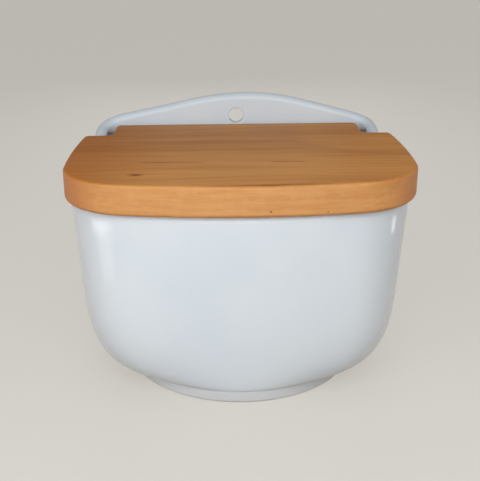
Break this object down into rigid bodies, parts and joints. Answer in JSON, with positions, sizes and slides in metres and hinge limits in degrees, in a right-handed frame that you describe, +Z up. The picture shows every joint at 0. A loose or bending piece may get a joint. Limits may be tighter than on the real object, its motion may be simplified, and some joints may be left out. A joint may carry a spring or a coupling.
{
  "type": "salt box",
  "caption": "Wall-hung porcelain salt box with a D-shaped bowl on a foot ring, a hanging plate, and a wooden lid that hinges on pins between ears.",
  "frame": {"origin": "on the ground under the middle of the box", "axes": "+Z up, the front faces -Y, +X to the right as seen from the front"},
  "size_m": [0.16, 0.129, 0.1219],
  "materials": {
    "porcelain": "glossy clear glaze on white porcelain",
    "lid_wood": "satin honey-coloured wood, grain across the width",
    "pin_steel": "plain turned steel"
  },
  "bodies": {
    "box": {"porcelain_body": "porcelain"},
    "lid": {"lid": "lid_wood", "hinge_pin_left": "pin_steel", "hinge_pin_right": "pin_steel"}
  },
  "joints": [
    {"name": "lid_hinge", "type": "hinge", "parent": "box", "child": "lid", "pos_m": [0, 0.051, 0.1006], "axis": [-1, 0, 0], "range_deg": [0, 93]}
  ]
}
